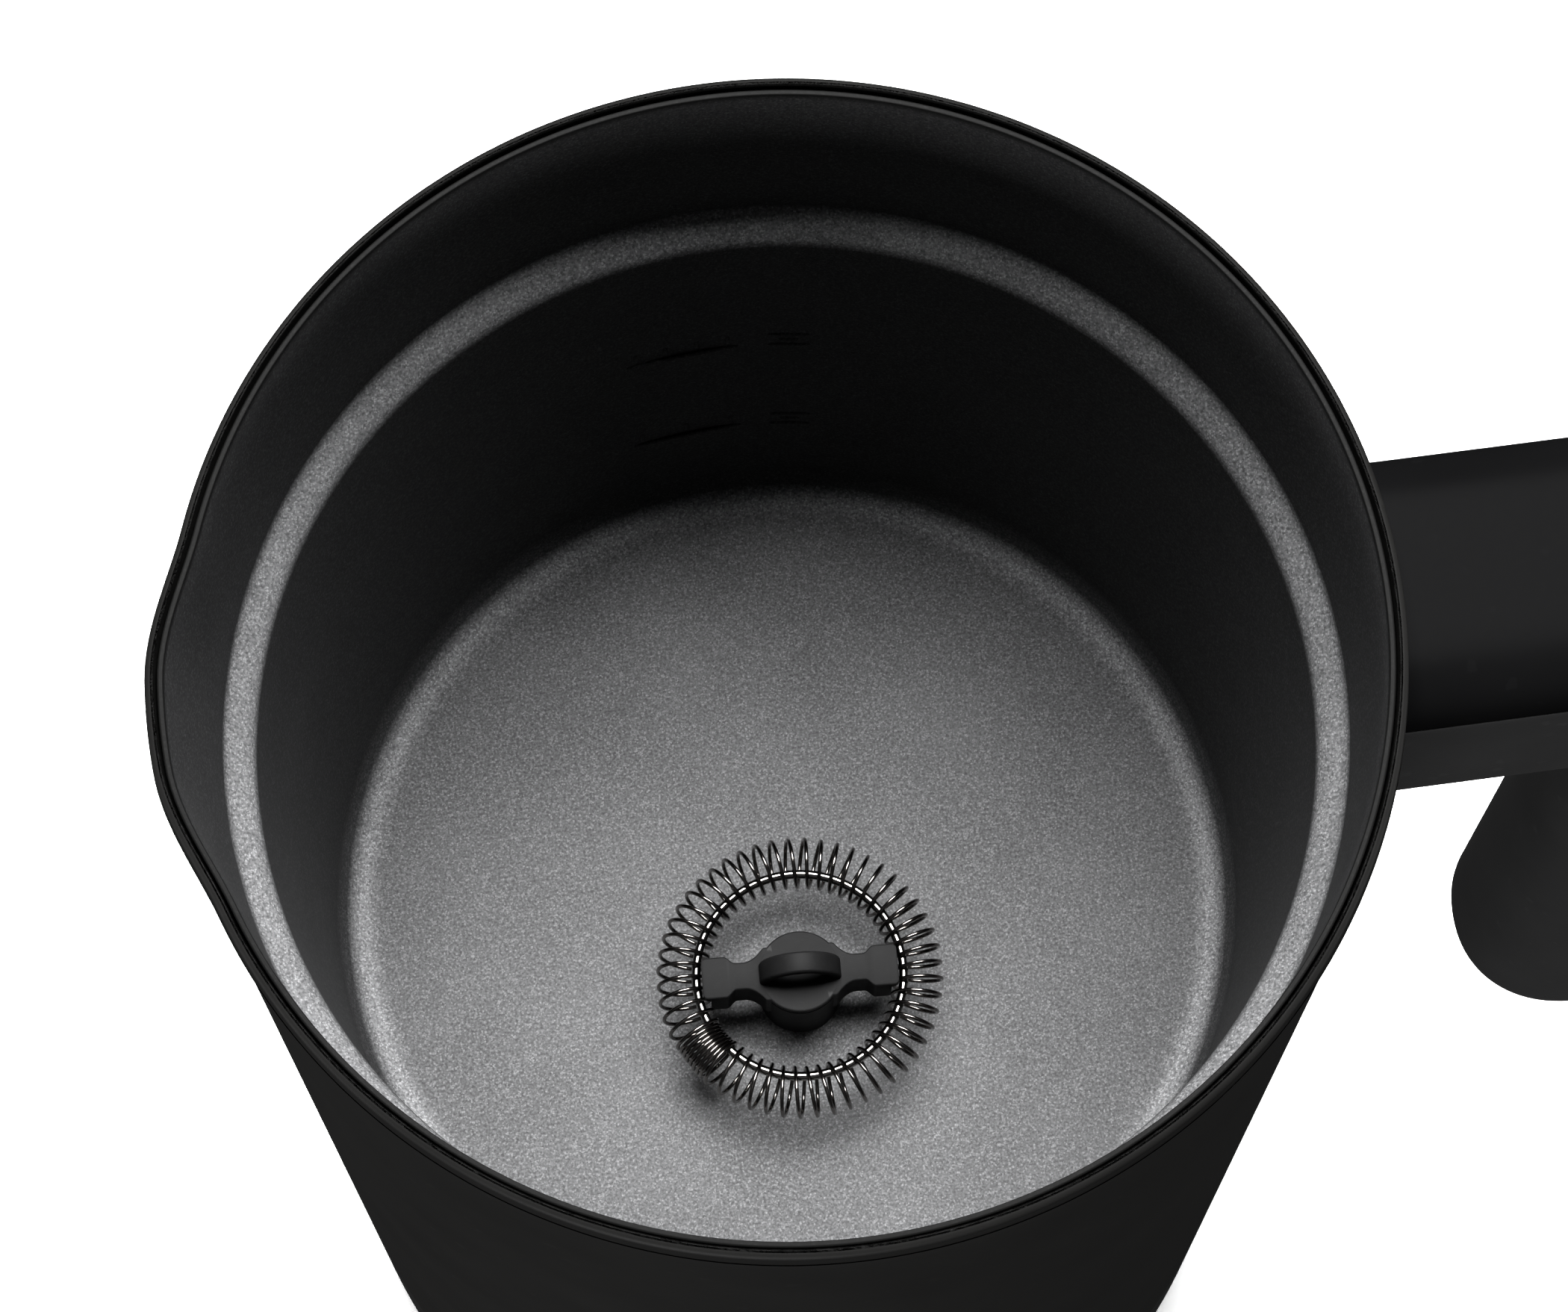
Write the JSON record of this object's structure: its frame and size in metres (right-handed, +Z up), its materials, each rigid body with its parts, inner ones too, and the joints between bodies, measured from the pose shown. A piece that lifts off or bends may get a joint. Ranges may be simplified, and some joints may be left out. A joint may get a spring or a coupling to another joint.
{
  "type": "milk frother",
  "caption": "Electric milk frother: a lift-off jug with a coated pot, a magnetic coil whisk and a hook handle, on a round cordless power base.",
  "frame": {"origin": "where the jug's vertical axis meets the table, at the middle of the centre foot's underside", "axes": "+Z up along the jug's axis, +X towards the handle, -X towards the pouring lip, -Y towards the push button"},
  "size_m": [0.1724, 0.1167, 0.192],
  "materials": {
    "body_plastic": "fine matte black moulding",
    "handle_gloss": "satin to semi-gloss black moulding",
    "pot_coating": "dark grey non-stick coating with fine metallic sparkle",
    "whisk_plastic": "dark grey moulded plastic",
    "spring_steel": "bright drawn stainless spring wire",
    "silicone": "dark silicone",
    "rubber": "black rubber",
    "aluminium": "plain aluminium",
    "plated_steel": "zinc plated steel",
    "brass": "plain brass contacts",
    "magnet": "nickel plated magnet",
    "board": "green circuit board",
    "component": "black engineering plastic",
    "light_guide": "milky translucent plastic"
  },
  "bodies": {
    "base": {"base_shell": "body_plastic", "base_bottom_cover": "body_plastic", "base_post": "component", "base_contact_ring": "brass", "base_contact_pin": "brass", "terminal_block": "light_guide", "cord_gland": "rubber", "foot_centre": "rubber", "foot_1": "rubber", "foot_2": "rubber", "foot_3": "rubber", "base_screw_1": "plated_steel", "base_screw_2": "plated_steel", "base_screw_3": "plated_steel"},
    "coupler": {"jug_connector": "component", "jug_contact_ring": "brass", "jug_contact_pin": "brass"},
    "jug": {"pot": "pot_coating", "outer_sleeve": "body_plastic", "pot_seal": "silicone", "handle_shell": "body_plastic", "handle_cover": "handle_gloss", "handle_screw_1": "plated_steel", "handle_screw_2": "plated_steel", "heater_plate": "aluminium", "heating_element": "plated_steel", "temperature_sensor": "plated_steel", "thermal_fuse": "aluminium", "motor_bracket": "plated_steel", "motor": "plated_steel", "standoff_1": "aluminium", "standoff_2": "aluminium", "standoff_3": "aluminium", "bracket_screw_1": "plated_steel", "bracket_screw_2": "plated_steel", "bracket_screw_3": "plated_steel", "control_board": "board", "pillar_1": "component", "pillar_2": "component", "pillar_3": "component", "relay": "component", "capacitor": "component", "switch_board": "board", "button_switch": "component", "button_guide": "component", "light_ring": "light_guide", "button_spring": "spring_steel", "jug_bottom_cover": "body_plastic"},
    "whisk_carrier": {"whisk_bush": "component"},
    "whisk": {"whisk_hub": "whisk_plastic", "whisk_magnet": "magnet", "whisk_ring": "spring_steel", "whisk_spring": "spring_steel"},
    "rotor": {"motor_shaft": "plated_steel", "drive_disc": "component", "drive_magnet_1": "magnet", "drive_magnet_2": "magnet"},
    "button": {"button_cap": "body_plastic"}
  },
  "joints": [
    {"name": "jug_lift", "type": "slide", "parent": "base", "child": "coupler", "axis": [0, 0, 1], "range_m": [0, 0.1]},
    {"name": "jug_swivel", "type": "hinge", "parent": "coupler", "child": "jug", "pos_m": [0, 0, 0.0308], "axis": [0, 0, 1], "continuous": true},
    {"name": "whisk_lift", "type": "slide", "parent": "jug", "child": "whisk_carrier", "axis": [0, 0, 1], "range_m": [0, 0.1]},
    {"name": "whisk_spin", "type": "hinge", "parent": "whisk_carrier", "child": "whisk", "pos_m": [0, -0.0109, 0.099], "axis": [0, 0, 1], "continuous": true},
    {"name": "motor_spin", "type": "hinge", "parent": "jug", "child": "rotor", "pos_m": [0, -0.0109, 0.0943], "axis": [0, 0, 1], "continuous": true},
    {"name": "button_press", "type": "slide", "parent": "jug", "child": "button", "axis": [0, 1, 0], "range_m": [0, 0.0015], "stiffness_N_per_m": 300, "deforming": ["button_spring"]}
  ],
  "couplings": [
    {"joint": "whisk_spin", "follows": "motor_spin", "ratio": 1}
  ]
}
